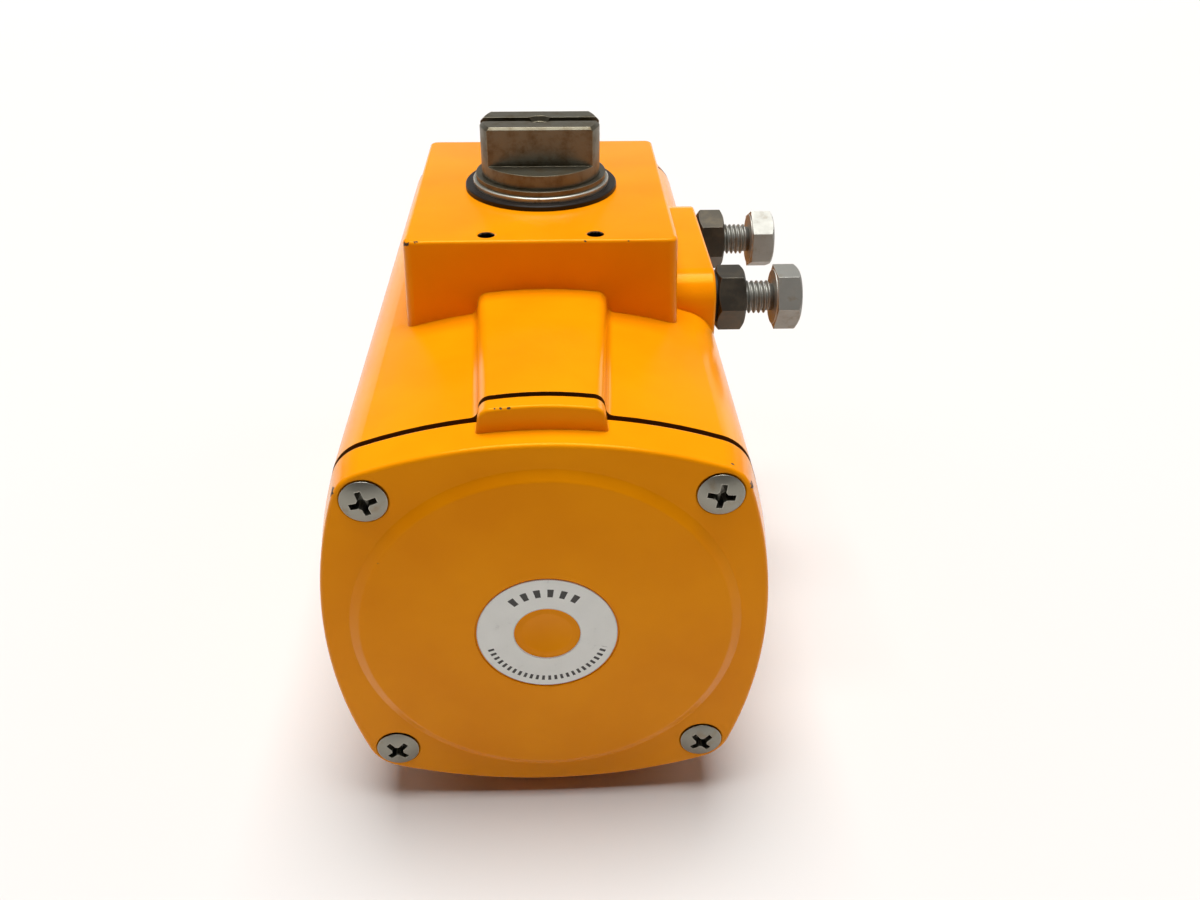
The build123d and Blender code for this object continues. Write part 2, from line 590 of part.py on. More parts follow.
def rack_teeth():
    """Straight-flanked teeth of the rack at -X, on the pitch line of the pinion."""
    pitch = math.pi * MODULE
    line_x = -MODULE * TEETH / 2
    half = pitch / 4
    slope = math.tan(PRESSURE_ANGLE)
    tip_x, root_x = line_x + MODULE, line_x - DEDENDUM
    tip_half = half - MODULE * slope
    root_half = half + DEDENDUM * slope
    low = CYLINDER_AXIS_Z - ARM_HALF_HEIGHT
    solids = []
    for number in range(RACK_FIRST, RACK_LAST + 1):
        y = number * pitch
        outline = Polyline(
            (root_x - RACK_OVERLAP, y - root_half),
            (root_x, y - root_half),
            (tip_x, y - tip_half),
            (tip_x, y + tip_half),
            (root_x, y + root_half),
            (root_x - RACK_OVERLAP, y + root_half),
            close=True,
        )
        solids.append(extrude(Pos(0, 0, low) * make_face(outline), amount=2 * ARM_HALF_HEIGHT))
    return solids


def piston():
    """Front piston: head towards -Y, rack arm along the -X side of the pinion."""
    head = rod(PISTON_RADIUS, on_axis(-PISTON_OUTER), on_axis(-PISTON_INNER))
    head = chamfer(head.edges().filter_by(GeomType.CIRCLE), EDGE_ROUND)
    head -= rod(PISTON_CUP_RADIUS, on_axis(-PISTON_OUTER - OVER), on_axis(-PISTON_OUTER + PISTON_CUP_DEPTH))
    root_x = -MODULE * TEETH / 2 - DEDENDUM
    low_z, high_z = CYLINDER_AXIS_Z - ARM_HALF_HEIGHT, CYLINDER_AXIS_Z + ARM_HALF_HEIGHT
    arm = block((-ARM_BACK_X, -PISTON_INNER - OVER, low_z), (root_x, ARM_END, high_z))
    body = head + arm + rack_teeth()
    body -= shoe_shape(SHOE_CLEARANCE)
    for low, high, floor in PISTON_GROOVES:
        body -= tube(PISTON_RADIUS + OVER, floor, on_axis(-high), on_axis(-low))
    return body


def shoe_shape(clearance):
    low = (-BORE_RADIUS - OVER, SHOE_Y[0] - clearance, CYLINDER_AXIS_Z - SHOE_HALF_HEIGHT - clearance)
    high = (-SHOE_SEAT_X + clearance, SHOE_Y[1] + clearance, CYLINDER_AXIS_Z + SHOE_HALF_HEIGHT + clearance)
    return block(low, high)


def rack_shoe():
    """Sliding pad that backs the rack against the bore wall."""
    return shoe_shape(0) & rod(BORE_RADIUS - FIT, on_axis(SHOE_Y[0] - OVER), on_axis(SHOE_Y[1] + OVER))


def piston_rings():
    seal_low, seal_high, seal_floor = PISTON_GROOVES[1]
    section = (BORE_RADIUS - FIT - seal_floor - FIT) / 2
    middle = on_axis(-(seal_low + seal_high) / 2)
    band_low, band_high, band_floor = PISTON_GROOVES[0]
    band_ends = on_axis(-band_high + BAND_GAP), on_axis(-band_low - BAND_GAP)
    band = tube(BORE_RADIUS - FIT, band_floor + FIT, *band_ends)
    return o_ring(seal_floor + FIT + section, section, middle, (0, 1, 0)), band


def hexagon(ends_x, y, turn, both_ends):
    """Hexagon bar along X, its corners turned off at 30 degrees at the outer end or at both."""
    length = ends_x[1] - ends_x[0]
    face_radius = HEX_FLATS / math.sqrt(3) - HEX_CORNER_CUT
    wide_radius = face_radius + length * math.sqrt(3)
    bar = extrude(RegularPolygon(HEX_FLATS / 2, 6, major_radius=False), amount=length)
    bar &= Cone(wide_radius, face_radius, length, align=STANDING)
    if both_ends:
        bar &= Cone(face_radius, wide_radius, length, align=STANDING)
    axis = Plane(origin=(ends_x[0], y, STOP_Z), x_dir=(0, 1, 0), z_dir=(1, 0, 0))
    return axis * Rot(0, 0, turn) * bar


def stop_bolt(y, turn):
    shank = rod(STOP_SHANK_RADIUS, (STOP_TIP_X, y, STOP_Z), (STOP_HEAD_X[0] + OVER, y, STOP_Z))
    shank = chamfer(shank.faces().sort_by(Axis.X)[0].edges(), EDGE_ROUND)
    return hexagon(STOP_HEAD_X, y, turn, False) + shank


def lock_nut(y, turn):
    hole = rod(STOP_HOLE_RADIUS, (LOCK_NUT_X[0] - OVER, y, STOP_Z), (LOCK_NUT_X[1] + OVER, y, STOP_Z))
    return hexagon(LOCK_NUT_X, y, turn, True) - hole


def stop_seal(y):
    ends = [(x, y, STOP_Z) for x in STOP_SEAL_X]
    return tube(STOP_SEAL_RADIUS, STOP_HOLE_RADIUS + FIT, *ends)


def turned_half(shape):
    """The same part turned half a turn about the drive axis."""
    return Rot(0, 0, 180) * shape


def build_parts():
    parts = {"housing": housing()}
    seal, band = piston_rings()
    front_parts = {
        "end_cap": end_cap(),
        "cap_o_ring": cap_o_ring(),
        "air_duct_seal": duct_seal(),
        "cap_screws": cap_screws(),
        "cap_label": cap_label(),
    }
    for name, shape in front_parts.items():
        parts[f"{name}_front"] = shape
        parts[f"{name}_rear"] = mirror(shape, about=Plane.XZ)
    piston_parts = {
        "piston": piston(),
        "piston_o_ring": seal,
        "piston_guide_band": band,
        "rack_shoe": rack_shoe(),
    }
    for name, shape in piston_parts.items():
        parts[f"{name}_front"] = shape
        parts[f"{name}_rear"] = turned_half(shape)
    parts["pinion_shaft"] = pinion_shaft()
    parts["stop_cam"] = stop_cam()
    parts.update(shaft_stack())
    for place, y, head_turn, nut_turn in STOP_BOLTS:
        parts[f"stop_bolt_{place}"] = stop_bolt(y, head_turn)
        parts[f"lock_nut_{place}"] = lock_nut(y, nut_turn)
        parts[f"stop_seal_{place}"] = stop_seal(y)
    return parts


os.makedirs("parts", exist_ok=True)
for name, shape in build_parts().items():
    export_step(shape, f"parts/{name}.step")
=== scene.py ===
import json
import math

import bmesh
import bpy
from mathutils import Matrix, Vector


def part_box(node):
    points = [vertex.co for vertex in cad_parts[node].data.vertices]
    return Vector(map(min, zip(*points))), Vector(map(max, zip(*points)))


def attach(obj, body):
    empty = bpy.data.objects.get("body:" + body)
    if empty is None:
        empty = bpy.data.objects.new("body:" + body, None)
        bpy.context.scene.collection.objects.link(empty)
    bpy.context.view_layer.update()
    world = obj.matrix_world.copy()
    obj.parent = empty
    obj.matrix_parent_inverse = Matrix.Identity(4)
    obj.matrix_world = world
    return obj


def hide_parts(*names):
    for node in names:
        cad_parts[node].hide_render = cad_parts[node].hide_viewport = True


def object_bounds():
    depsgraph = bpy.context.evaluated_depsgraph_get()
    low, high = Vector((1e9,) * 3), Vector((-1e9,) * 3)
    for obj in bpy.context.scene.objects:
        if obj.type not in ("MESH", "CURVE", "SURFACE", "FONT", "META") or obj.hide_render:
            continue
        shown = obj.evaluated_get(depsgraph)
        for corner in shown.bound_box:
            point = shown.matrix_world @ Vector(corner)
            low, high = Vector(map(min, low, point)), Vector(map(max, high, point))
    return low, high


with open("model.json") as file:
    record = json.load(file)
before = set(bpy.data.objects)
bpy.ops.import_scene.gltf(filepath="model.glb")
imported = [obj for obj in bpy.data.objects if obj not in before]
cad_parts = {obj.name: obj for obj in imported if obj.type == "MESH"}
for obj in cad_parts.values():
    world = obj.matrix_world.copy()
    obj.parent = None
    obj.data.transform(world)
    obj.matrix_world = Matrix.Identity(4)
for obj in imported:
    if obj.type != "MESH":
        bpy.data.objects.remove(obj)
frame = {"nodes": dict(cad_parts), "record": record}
CAD_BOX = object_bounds()
MM = 0.001

# Camera, solved for a pinhole with a 36 mm wide sensor (metres and degrees, row frame)
CAMERA_PLACE = (0.0035275, -0.317745, 0.250931)
CAMERA_YAW, CAMERA_PITCH, CAMERA_ROLL = 2.7186, 33.081, 0.4248
CAMERA_LENS = 31.92

# Stop bolts
THREAD_PITCH = 1.5 * MM
THREAD_DEPTH = 0.92 * MM
BOLT_FLATS = 17.0 * MM
HEAD_HEIGHT = 7.65 * MM
THREAD_STEPS = 64
THREAD_ROWS = 10
THREAD_MAJOR_RADIUS = 4.95 * MM
THREAD_RUN_OUT = 1.6 * MM
TIP_CHAMFER = 1.0 * MM
HEAD_STEPS = 96
HEAD_CHAMFER = math.radians(30)
HEAD_CIRCLE_INSET = 0.35 * MM
HEAD_OVERLAP = 0.2 * MM  # how far the shank runs into the head

# Studio
FLOOR_HALF = 6.0
FLOOR_TONE = (0.68, 0.66, 0.64)
LIGHT_AIM = (0.0, 0.0, 0.07)
LIGHTS = (  # name, place, size, watts
    ("key", (0.0, 0.5, 6.0), (4.0, 4.0), 545.0),
    ("backdrop", (0.0, 1.6, 0.3), (3.2, 0.5), 5.5),
    ("left", (-1.0, 0.3, 0.9), (0.8, 0.8), 1.6),
    ("right", (1.0, 0.3, 0.9), (0.8, 0.8), 1.6),
)
WORLD_STRENGTH = 0.05

GAP_END_Y = 104.0 * MM  # where the groove between the body and the cap's flange ends

TAPPED_DEPTH = 16 * MM  # how far bare metal reaches into a tapped hole

# Colours (linear)
ORANGE = (0.93, 0.312, 0.0015)
ORANGE_DEEP = (0.86, 0.268, 0.001)
PAINT_SHEEN = (1.0, 0.42, 0.01)
PRIMER = (0.055, 0.042, 0.030)
# painted shade: a darkened copy of the orange, laid in the groove between the body and the cap's flange
GROOVE_SHADE = (0.16, 0.055, 0.006)
BARE_METAL = (0.14, 0.115, 0.08)
SHAFT_STEEL = (0.16, 0.145, 0.105)
SHAFT_STAIN = (0.115, 0.088, 0.05)
BOLT_STEEL = (0.33, 0.325, 0.295)
BOLT_STAIN = (0.24, 0.19, 0.13)
NUT_STEEL = (0.095, 0.085, 0.068)
NUT_STAIN = (0.13, 0.11, 0.08)
SCREW_STEEL = (0.27, 0.26, 0.22)
WASHER_STEEL = (0.52, 0.51, 0.44)
BLACK_POLYMER = (0.012, 0.009, 0.007)
NATURAL_POLYMER = (0.62, 0.58, 0.46)
RUBBER = (0.012, 0.011, 0.010)
LABEL_WHITE = (0.93, 0.93, 0.88)
LABEL_INK = (0.035, 0.032, 0.028)
ALUMINIUM = (0.62, 0.62, 0.61)
ALUMINIUM_DULL = tuple(c * 0.8 for c in ALUMINIUM)


# ---- Node helpers ----

def node(tree, kind, inputs=None, **settings):
    """Add a shader node; inputs maps a socket's name or number to a value or another node's socket."""
    made = tree.nodes.new(kind)
    for key, value in settings.items():
        setattr(made, key, value)
    for key, value in (inputs or {}).items():
        if isinstance(value, bpy.types.NodeSocket):
            tree.links.new(value, made.inputs[key])
        else:
            made.inputs[key].default_value = value
    return made


def rgba(colour):
    return (*colour, 1.0)


def math_node(tree, operation, a, b=0.0, clamp=False):
    return node(tree, "ShaderNodeMath", {0: a, 1: b}, operation=operation, use_clamp=clamp).outputs[0]


def mix(tree, factor, a, b):
    """Blend two colours, each a socket or an (r, g, b)."""
    pick = [v if isinstance(v, bpy.types.NodeSocket) else rgba(v) for v in (a, b)]
    made = node(tree, "ShaderNodeMix", {0: factor, 6: pick[0], 7: pick[1]}, data_type="RGBA")
    return made.outputs[2]


def ramp(tree, factor, low, high):
    """0 below low, 1 above high, straight between."""
    made = node(tree, "ShaderNodeMapRange", {0: factor, 1: low, 2: high, 3: 0.0, 4: 1.0}, clamp=True)
    return made.outputs[0]


def noise(tree, place, size, detail=2.0, roughness=0.5):
    """Noise whose features are about size metres across."""
    inputs = {"Vector": place, "Scale": 1.0 / size, "Detail": detail, "Roughness": roughness}
    return node(tree, "ShaderNodeTexNoise", inputs).outputs["Fac"]


def place_of(tree):
    """Position in the piece's own frame, in metres."""
    return node(tree, "ShaderNodeTexCoord").outputs["Object"]


def stretched(tree, place, factors):
    """Place scaled unevenly, for brushed or turned marks."""
    return node(tree, "ShaderNodeMapping", {"Vector": place, "Scale": factors}).outputs[0]


def edge_mask(tree, radius):
    """1 near convex and concave edges, 0 on open faces."""
    round_normal = node(tree, "ShaderNodeBevel", {"Radius": radius}, samples=6).outputs[0]
    face_normal = node(tree, "ShaderNodeNewGeometry").outputs["Normal"]
    dot = node(tree, "ShaderNodeVectorMath", {0: round_normal, 1: face_normal}, operation="DOT_PRODUCT")
    return ramp(tree, math_node(tree, "SUBTRACT", 1.0, dot.outputs["Value"]), 0.01, 0.12)


def bump(tree, height, distance, strength=1.0, radius=None):
    inputs = {"Height": height, "Distance": distance, "Strength": strength}
    if radius:
        inputs["Normal"] = node(tree, "ShaderNodeBevel", {"Radius": radius}, samples=6).outputs[0]
    return node(tree, "ShaderNodeBump", inputs).outputs[0]


def material(name, build):
    """New material whose surface is the principled shader that build(tree) sets up."""
    made = bpy.data.materials.new(name)
    made.use_nodes = True
    tree = made.node_tree
    tree.nodes.clear()
    shader = node(tree, "ShaderNodeBsdfPrincipled", build(tree))
    output = node(tree, "ShaderNodeOutputMaterial")
    tree.links.new(shader.outputs[0], output.inputs["Surface"])
    return made


# ---- Materials ----

def spots(tree, place, where, jitter):
    """1 inside any of the given balls (x, y, z, radius), with a ragged rim."""
    total = 0.0
    for x, y, z, radius in where:
        gap = node(tree, "ShaderNodeVectorMath", {0: place, 1: (x, y, z)}, operation="DISTANCE")
        inside = math_node(tree, "SUBTRACT", radius, gap.outputs["Value"])
        ragged = math_node(tree, "ADD", inside, math_node(tree, "MULTIPLY", jitter, radius))
        here = ramp(tree, ragged, 0.0, 0.08 * MM)
        total = here if total == 0.0 else math_node(tree, "MAXIMUM", total, here)
    return total


def mount_holes():
    """Every stated tapped hole as (axis number, place, wall radius)."""
    holes = []
    for mount in frame["record"]["mounts"]:
        axis = max(range(3), key=lambda k: abs(mount["axis"][k]))
        across = [k for k in range(3) if k != axis]
        dims, place = mount["dims"], mount["pos_m"]
        if "pcd_mm" in dims:
            half = [dims["pcd_mm"] * MM / 2 / math.sqrt(2)] * 2
        elif "spacing_x_mm" in dims:
            half = [dims["spacing_x_mm"] * MM / 2, dims.get("spacing_y_mm", 0.0) * MM / 2]
        elif mount["kind"] == "threaded_hole":
            half = [0.0, 0.0]
        else:
            continue
        radius = dims.get("hole_r_mm", dims.get("r_mm")) * MM
        for signs in ((-1, -1), (-1, 1), (1, -1), (1, 1)):
            spot = list(place)
            for k, sign, reach in zip(across, signs, half):
                spot[k] += sign * reach
            holes.append((axis, tuple(spot), radius))
    return sorted(set(holes))


def bored(tree, place, holes, depth):
    """1 on the walls of the given holes, within depth of each hole's place along its axis."""
    total = 0.0
    for axis, spot, radius in holes:
        offset = node(tree, "ShaderNodeVectorMath", {0: place, 1: spot}, operation="SUBTRACT").outputs[0]
        keep = tuple(0.0 if k == axis else 1.0 for k in range(3))
        flat = node(tree, "ShaderNodeVectorMath", {0: offset, 1: keep}, operation="MULTIPLY").outputs[0]
        away = node(tree, "ShaderNodeVectorMath", {0: flat}, operation="LENGTH").outputs["Value"]
        along = node(tree, "ShaderNodeSeparateXYZ", {0: offset}).outputs[axis]
        near = math_node(tree, "LESS_THAN", math_node(tree, "ABSOLUTE", along), depth)
        here = math_node(tree, "MULTIPLY", math_node(tree, "LESS_THAN", away, radius + 0.25 * MM), near)
        total = here if total == 0.0 else math_node(tree, "MAXIMUM", total, here)
    return total


def paint(chips, holes):
    """Glossy orange paint with orange peel, faint scuffs, a few chips, painted shade along the groove by the
    cap's flange, and bare metal in tapped holes.
    """
    def build(tree):
        place = place_of(tree)
        cloud = noise(tree, place, 28 * MM, 3.0)
        peel = noise(tree, place, 1.1 * MM, 1.0)
        grain = noise(tree, place, 0.35 * MM, 2.0)
        colour = mix(tree, ramp(tree, cloud, 0.35, 0.7), ORANGE, ORANGE_DEEP)
        edge = edge_mask(tree, 0.5 * MM)
        patches = ramp(tree, noise(tree, place, 3.5 * MM, 4.0, 0.7), 0.66, 0.74)
        rub = math_node(tree, "MULTIPLY", edge, patches)
        jitter = math_node(tree, "SUBTRACT", noise(tree, place, 0.9 * MM, 3.0), 0.5)
        jitter = math_node(tree, "MULTIPLY", jitter, 2.6)
        bare = rub
        if chips:
            bare = math_node(tree, "MAXIMUM", rub, spots(tree, place, chips, jitter))
        scuff = ramp(tree, noise(tree, stretched(tree, place, (1, 3, 9)), 9 * MM, 5.0, 0.7), 0.62, 0.8)
        rough = math_node(tree, "ADD", math_node(tree, "MULTIPLY", scuff, 0.12), 0.2)
        height = math_node(tree, "ADD", peel, math_node(tree, "MULTIPLY", grain, 0.25))
        height = math_node(tree, "SUBTRACT", height, math_node(tree, "MULTIPLY", bare, 1.5))
        tone = mix(tree, bare, colour, PRIMER)
        # Painted shade: within the groove between the body and the cap's flange the paint turns to a
        # darkened orange
        along = math_node(tree, "ABSOLUTE", node(tree, "ShaderNodeSeparateXYZ", {0: place}).outputs["Y"])
        gap_middle = (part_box("housing")[1].y + GAP_END_Y) / 2
        away = math_node(tree, "ABSOLUTE", math_node(tree, "SUBTRACT", along, gap_middle))
        tone = mix(tree, math_node(tree, "LESS_THAN", away, GAP_END_Y - gap_middle + 0.05 * MM), tone, GROOVE_SHADE)
        metallic = 0.0
        if holes:
            metallic = bored(tree, place, holes, TAPPED_DEPTH)
            tone = mix(tree, metallic, tone, BARE_METAL)
        return {
            "Base Color": tone,
            "Metallic": metallic,
            "Roughness": math_node(tree, "ADD", rough, math_node(tree, "MULTIPLY", bare, 0.35)),
            "Specular IOR Level": 0.45,
            "Specular Tint": rgba(PAINT_SHEEN),
            "Normal": bump(tree, height, 0.03 * MM, 0.5, 0.35 * MM),
        }
    return build


def steel_with_painted_edge_highlight(colour, stain, roughness, grain, direction=(1, 1, 1), stain_share=0.5):
    """Steel with machining marks, brown staining, and a painted highlight: edges painted lighter than the
    faces.
    """
    def build(tree):
        place = place_of(tree)
        marks = noise(tree, stretched(tree, place, direction), grain, 3.0, 0.6)
        blotch = noise(tree, place, 4.5 * MM, 5.0, 0.65)
        low = 0.62 - 0.3 * stain_share
        stained = mix(tree, ramp(tree, blotch, low, low + 0.22), colour, stain)
        edge = edge_mask(tree, 0.4 * MM)
        # Painted highlight: near edges the colour is lifted to about twice the steel's own colour
        bright = math_node(tree, "MULTIPLY", edge, 0.75)
        tone = mix(tree, bright, stained, tuple(min(1.0, c * 2.1) for c in colour))
        rough = math_node(tree, "ADD", math_node(tree, "MULTIPLY", blotch, 0.25), roughness - 0.1)
        return {
            "Base Color": tone,
            "Metallic": 1.0,
            "Roughness": math_node(tree, "ADD", rough, math_node(tree, "MULTIPLY", marks, 0.12)),
            "Normal": bump(tree, marks, 0.02 * MM, 0.7, 0.25 * MM),
        }
    return build


def moulded(colour, roughness, grain=0.4 * MM):
    """Polymer or rubber with a fine surface texture and dusty patches."""
    def build(tree):
        place = place_of(tree)
        fine = noise(tree, place, grain, 2.0)
        dust = ramp(tree, noise(tree, place, 5 * MM, 4.0, 0.65), 0.5, 0.85)
        lighter = tuple(c * 1.6 + 0.006 for c in colour)
        return {
            "Base Color": mix(tree, dust, colour, lighter),
            "Roughness": math_node(tree, "ADD", math_node(tree, "MULTIPLY", dust, 0.15), roughness),
            "Specular IOR Level": 0.25,
            "Normal": bump(tree, fine, 0.02 * MM, 0.6, 0.15 * MM),
        }
    return build


def label_film(tree):
    """White film ring with unreadable print: a short bold arc above and a long fine arc below."""
    place = place_of(tree)
    middle_z = sum(c.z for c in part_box("cap_label_front")) / 2
    split = node(tree, "ShaderNodeSeparateXYZ", {0: place})
    rise = math_node(tree, "SUBTRACT", split.outputs["Z"], middle_z)
    flat = node(tree, "ShaderNodeCombineXYZ", {"X": split.outputs["X"], "Y": rise})
    radius = node(tree, "ShaderNodeVectorMath", {0: flat.outputs[0]}, operation="LENGTH").outputs["Value"]
    angle = math_node(tree, "ARCTAN2", rise, split.outputs["X"])
    scatter = math_node(tree, "MULTIPLY", noise(tree, place, 2.6 * MM, 2.0), 0.8)

    def within(value, middle, half):
        gap = math_node(tree, "ABSOLUTE", math_node(tree, "SUBTRACT", value, middle))
        return math_node(tree, "LESS_THAN", gap, half)

    def print_arc(at, half_height, middle_angle, half_angle, strokes):
        turns = math_node(tree, "ADD", math_node(tree, "MULTIPLY", angle, strokes), scatter)
        bars = math_node(tree, "GREATER_THAN", math_node(tree, "SINE", turns), 0.1)
        band = math_node(tree, "MULTIPLY", within(radius, at, half_height), bars)
        return math_node(tree, "MULTIPLY", band, within(angle, middle_angle, half_angle))

    heading = print_arc(13.6 * MM, 1.25 * MM, math.radians(92), math.radians(44), 26.0)
    sentence = print_arc(15.4 * MM, 0.8 * MM, math.radians(-90), math.radians(72), 60.0)
    ink = math_node(tree, "MAXIMUM", heading, sentence)
    wear = ramp(tree, noise(tree, place, 2.2 * MM, 4.0, 0.7), 0.12, 0.26)
    film = mix(tree, noise(tree, place, 6 * MM, 3.0), LABEL_WHITE, tuple(c * 0.88 for c in LABEL_WHITE))
    dirt = math_node(tree, "ADD", noise(tree, place, 3 * MM, 4.0, 0.7), edge_mask(tree, 0.5 * MM))
    grime = ramp(tree, dirt, 0.62, 1.0)
    film = mix(tree, math_node(tree, "MULTIPLY", grime, 0.45), film, LABEL_INK)
    return {
        "Base Color": mix(tree, math_node(tree, "MULTIPLY", ink, wear), film, LABEL_INK),
        "Roughness": 0.4,
        "Normal": bump(tree, noise(tree, place, 0.5 * MM, 2.0), 0.01 * MM, 0.5),
    }


top_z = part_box("housing")[1].z
block_front = -0.0449
cap_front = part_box("end_cap_front")[0].y
tab_front, tab_top = -0.1082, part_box("end_cap_front")[1].z - 0.0006
CHIPS = {
    "housing": [
        (-0.0374, block_front, top_z - 0.0004, 1.5 * MM),
        (-0.0335, block_front + 0.0003, top_z, 0.7 * MM),
        (0.0372, block_front, top_z - 0.0003, 0.6 * MM),
        (0.0120, block_front, top_z, 0.5 * MM),
        (0.0236, block_front, top_z, 0.6 * MM),
    ],
    "end_cap_front": [
        (-0.0490, cap_front + 0.0029, 0.1068, 1.2 * MM),
        (0.0495, cap_front + 0.0029, 0.1066, 1.1 * MM),
        (0.0445, cap_front + 0.0034, 0.1118, 0.5 * MM),
        (-0.0107, tab_front, tab_top, 0.35 * MM),
        (-0.0094, tab_front, tab_top, 0.3 * MM),
        (-0.0074, tab_front, tab_top, 0.4 * MM),
        (-0.0400, cap_front + 0.0008, 0.0875, 0.7 * MM),
    ],
    "end_cap_rear": [],
}
steel_shaft = material("shaft_steel", steel_with_painted_edge_highlight(SHAFT_STEEL, SHAFT_STAIN, 0.38, 0.8 * MM, (1, 1, 6)))
LOOKS = {
    "pinion_shaft": steel_shaft,
    "stop_cam": steel_shaft,
    "retaining_ring": material("ring_steel", steel_with_painted_edge_highlight(SHAFT_STEEL, SHAFT_STAIN, 0.36, 0.5 * MM)),
    "thrust_washer": material(
        "washer_steel", steel_with_painted_edge_highlight(WASHER_STEEL, SHAFT_STAIN, 0.34, 0.4 * MM, (1, 1, 8), 0.15)),
    "thrust_ring": material("black_polymer", moulded(BLACK_POLYMER, 0.4)),
    "bolt": material("bolt_steel", steel_with_painted_edge_highlight(BOLT_STEEL, BOLT_STAIN, 0.5, 0.5 * MM, (1, 1, 1), 0.16)),
    "nut": material("nut_steel", steel_with_painted_edge_highlight(NUT_STEEL, NUT_STAIN, 0.40, 0.5 * MM, (1, 1, 1), 0.5)),
    "screw": material("screw_steel", steel_with_painted_edge_highlight(SCREW_STEEL, BOLT_STAIN, 0.30, 0.5 * MM, (1, 1, 1), 0.2)),
    "rubber": material("seal_rubber", moulded(RUBBER, 0.55)),
    "natural": material("bearing_polymer", moulded(NATURAL_POLYMER, 0.5)),
    "label": material("label_film", label_film),
    "aluminium": material("cast_aluminium", steel_with_painted_edge_highlight(ALUMINIUM, ALUMINIUM_DULL, 0.42, 0.7 * MM)),
}
FAMILIES = (
    ("cap_screws", "screw"),
    ("cap_label", "label"),
    ("lock_nut", "nut"),
    ("stop_bolt", "bolt"),
    ("piston_o_ring", "rubber"),
    ("piston_guide_band", "natural"),
    ("piston", "aluminium"),
    ("rack_shoe", "natural"),
    ("cap_o_ring", "rubber"),
    ("air_duct_seal", "rubber"),
    ("shaft_o_ring", "rubber"),
    ("stop_seal", "rubber"),
    ("upper_bearing", "natural"),
    ("lower_bearing", "natural"),
)


def look_of(name):
    if name in CHIPS:
        return material("paint_" + name, paint(CHIPS[name], mount_holes() if name == "housing" else []))
    if name in LOOKS:
        return LOOKS[name]
    return next(LOOKS[look] for family, look in FAMILIES if name.startswith(family))


def dress_cad_nodes():
    for name, obj in frame["nodes"].items():
        obj.data.materials.clear()
        obj.data.materials.append(look_of(name))


# ---- Stop bolts with real threads ----

def new_piece(name, mesh_maker):
    mesh = bpy.data.meshes.new(name)
    shape = bmesh.new()
    mesh_maker(shape)
    bmesh.ops.recalc_face_normals(shape, faces=shape.faces)
    shape.to_mesh(mesh)
    shape.free()
    obj = bpy.data.objects.new(name, mesh)
    bpy.context.scene.collection.objects.link(obj)
    return obj


def lathe(shape, rings, steps):
    """Skin closed rings of points along X; each ring is a function of the angle giving (x, radius)."""
    rows = []
    for ring in rings:
        row = []
        for k in range(steps):
            angle = 2 * math.pi * k / steps
            x, radius = ring(angle)
            row.append(shape.verts.new((x, radius * math.cos(angle), radius * math.sin(angle))))
        rows.append(row)
    for low, high in zip(rows, rows[1:]):
        for k in range(steps):
            follow = (k + 1) % steps
            shape.faces.new((low[k], low[follow], high[follow], high[k]))
    shape.faces.new(list(reversed(rows[0])))
    shape.faces.new(rows[-1])


def thread_radius(x, angle, tip, major):
    """Radius of a right-hand thread with flat crests and roots, faded in at the chamfered tip."""
    phase = (x / THREAD_PITCH - angle / (2 * math.pi)) % 1.0
    rise = min(1.0, max(0.0, (abs(phase - 0.5) - 0.08) / 0.34))
    radius = major - THREAD_DEPTH * (1 - rise)
    return min(radius, major - TIP_CHAMFER + (x - tip))


def stop_bolt(place):
    low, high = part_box("stop_bolt_" + place)
    major = THREAD_MAJOR_RADIUS
    under_head = high.x - HEAD_HEIGHT
    run_out = under_head - THREAD_RUN_OUT
    count = int((run_out - low.x) / THREAD_PITCH * THREAD_ROWS)
    axis = Vector((0, (low.y + high.y) / 2, (low.z + high.z) / 2))

    def maker(shape):
        stations = [low.x + (run_out - low.x) * k / count for k in range(count + 1)]
        rings = [lambda a, x=x: (x, thread_radius(x, a, low.x, major)) for x in stations]
        rings.append(lambda a: (run_out + 0.5 * MM, major - THREAD_DEPTH))
        rings.append(lambda a: (under_head + HEAD_OVERLAP, major - THREAD_DEPTH))
        lathe(shape, rings, THREAD_STEPS)

    shank = new_piece("stop_bolt_thread_" + place, maker)
    wide_y = (high.y - low.y) > (high.z - low.z)
    head = hex_head("stop_bolt_head_" + place, under_head, high.x, 0.0 if wide_y else math.pi / 6)
    for obj in (shank, head):
        obj.data.transform(Matrix.Translation(axis))
        obj.data.materials.append(LOOKS["bolt"])
        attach(obj, "stop_bolt_" + place)
    for face in shank.data.polygons:
        face.use_smooth = True
    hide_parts("stop_bolt_" + place)


def hex_head(name, low_x, high_x, turn):
    """Hexagon head with its corners turned off at 30 degrees and a thin washer face."""
    apothem = BOLT_FLATS / 2
    circle = apothem - HEAD_CIRCLE_INSET

    def hex_radius(angle):
        sector = (angle - turn + math.pi / 6) % (math.pi / 3) - math.pi / 6
        return apothem / math.cos(sector)

    def top_ring(share):
        def ring(angle):
            radius = circle + (hex_radius(angle) - circle) * share
            return high_x - (radius - circle) * math.tan(HEAD_CHAMFER), radius
        return ring

    def maker(shape):
        rings = [
            lambda a: (low_x, circle),
            lambda a: (low_x + 0.35 * MM, circle),
            lambda a: (low_x + 0.36 * MM, hex_radius(a) - 0.05 * MM),
            lambda a: (low_x + 0.5 * MM, hex_radius(a)),
        ]
        rings += [top_ring(share) for share in (1.0, 0.66, 0.33, 0.0)]
        rings.append(lambda a: (high_x, circle * 0.5))
        lathe(shape, rings, HEAD_STEPS)

    return new_piece(name, maker)


# ---- Studio ----

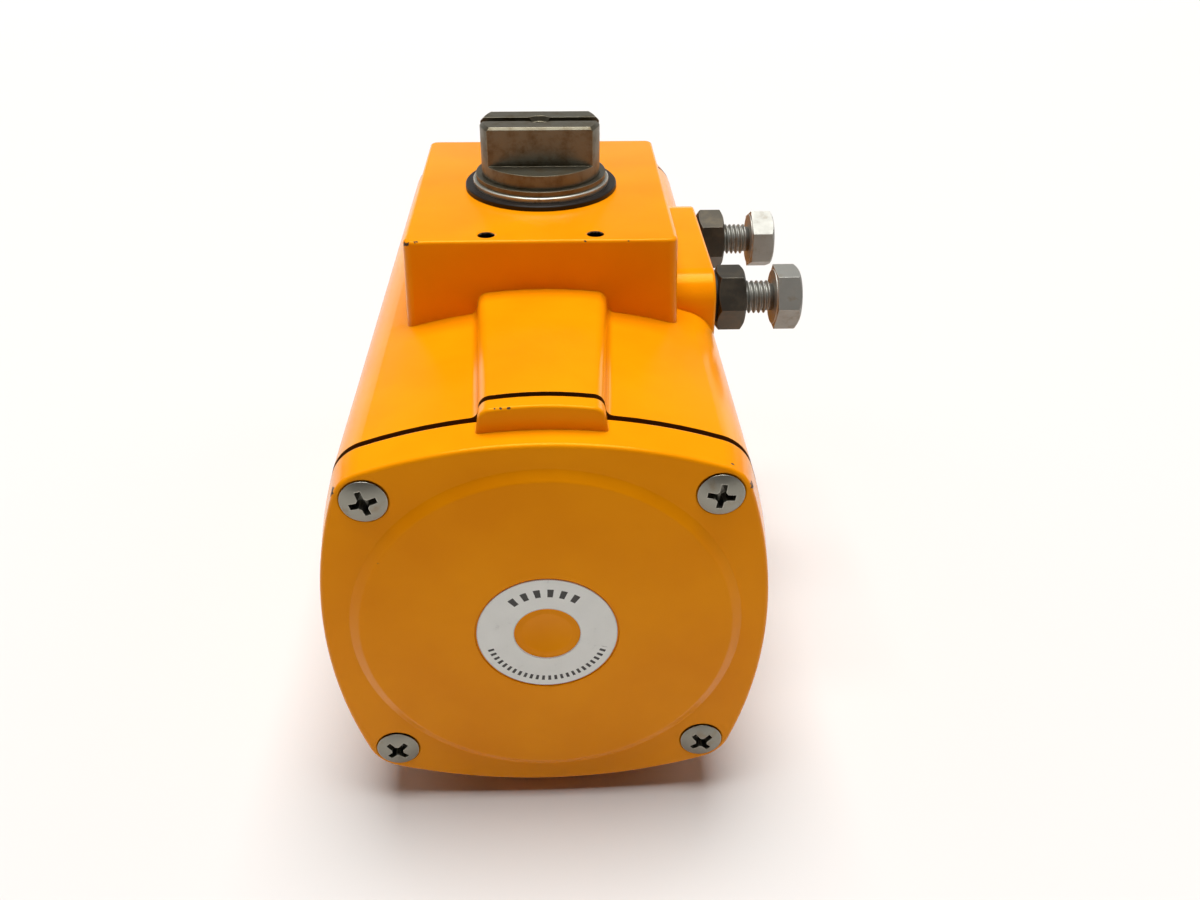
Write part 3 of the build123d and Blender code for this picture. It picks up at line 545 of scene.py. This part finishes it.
def studio():
    floor_mesh = bpy.data.meshes.new("floor")
    half, z = FLOOR_HALF, CAD_BOX[0].z
    corners = [(-half, -half, z), (half, -half, z), (half, half, z), (-half, half, z)]
    floor_mesh.from_pydata(corners, [], [(0, 1, 2, 3)])
    floor = bpy.data.objects.new("floor", floor_mesh)
    bpy.context.scene.collection.objects.link(floor)
    paper = material("floor_paper", lambda tree: {"Base Color": rgba(FLOOR_TONE), "Roughness": 0.7})
    floor_mesh.materials.append(paper)
    for name, place, size, power in LIGHTS:
        soft_light(name, place, size, power)
    world = bpy.data.worlds.new("studio")
    world.use_nodes = True
    sky = world.node_tree.nodes["Background"].inputs
    sky["Color"].default_value = (1.0, 1.0, 1.0, 1.0)
    sky["Strength"].default_value = WORLD_STRENGTH
    bpy.context.scene.world = world
    bpy.context.scene.view_settings.view_transform = "Standard"


def soft_light(name, place, size, power):
    data = bpy.data.lights.new(name, "AREA")
    data.shape = "RECTANGLE"
    data.size, data.size_y = size
    data.energy = power
    light = bpy.data.objects.new(name, data)
    light.location = place
    aim = Vector(LIGHT_AIM) - Vector(place)
    light.rotation_mode = "QUATERNION"
    light.rotation_quaternion = aim.to_track_quat("-Z", "Y")
    bpy.context.scene.collection.objects.link(light)


def camera():
    yaw, pitch, roll = (math.radians(a) for a in (CAMERA_YAW, CAMERA_PITCH, CAMERA_ROLL))
    forward = Vector((math.sin(yaw) * math.cos(pitch), math.cos(yaw) * math.cos(pitch), -math.sin(pitch)))
    level = Vector((math.cos(yaw), -math.sin(yaw), 0))
    up = level.cross(forward)
    right = level * math.cos(roll) + up * math.sin(roll)
    up = up * math.cos(roll) - level * math.sin(roll)
    data = bpy.data.cameras.new("camera")
    data.sensor_width = 36.0
    data.lens = CAMERA_LENS
    data.clip_start, data.clip_end = 0.01, 50.0
    obj = bpy.data.objects.new("camera", data)
    turn = Matrix((right, up, -forward)).transposed()
    obj.matrix_world = Matrix.Translation(CAMERA_PLACE) @ turn.to_4x4()
    bpy.context.scene.collection.objects.link(obj)
    bpy.context.scene.camera = obj


dress_cad_nodes()
for place in ("front", "rear"):
    stop_bolt(place)
studio()
camera()
